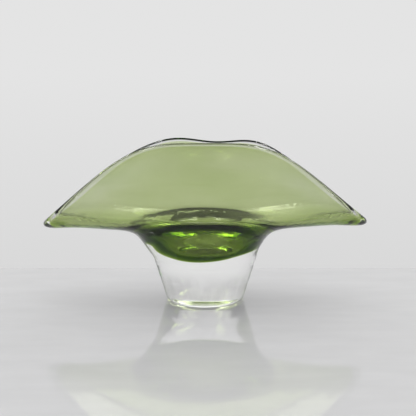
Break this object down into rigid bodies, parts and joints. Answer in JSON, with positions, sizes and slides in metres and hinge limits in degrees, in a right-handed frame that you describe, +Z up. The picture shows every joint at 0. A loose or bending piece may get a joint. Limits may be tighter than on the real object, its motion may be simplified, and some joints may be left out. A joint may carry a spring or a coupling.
{
  "type": "art glass bowl",
  "caption": "Hot-worked art glass bowl: a green lined trough with two drooping wings on a solid, tapered clear foot.",
  "frame": {"origin": "middle of the polished underside of the foot", "axes": "+Z up; X along the bowl from wing tip to wing tip; -Y towards the front wall, +Y towards the rear wall with the wavy rim"},
  "size_m": [0.3221, 0.1218, 0.1594],
  "materials": {
    "clear_glass": "fire polished, the underside ground and polished",
    "green_glass": "fire polished, transparent olive green"
  },
  "bodies": {
    "root": {"clear_foot": "clear_glass", "clear_casing": "clear_glass", "green_lining": "green_glass"}
  },
  "joints": []
}
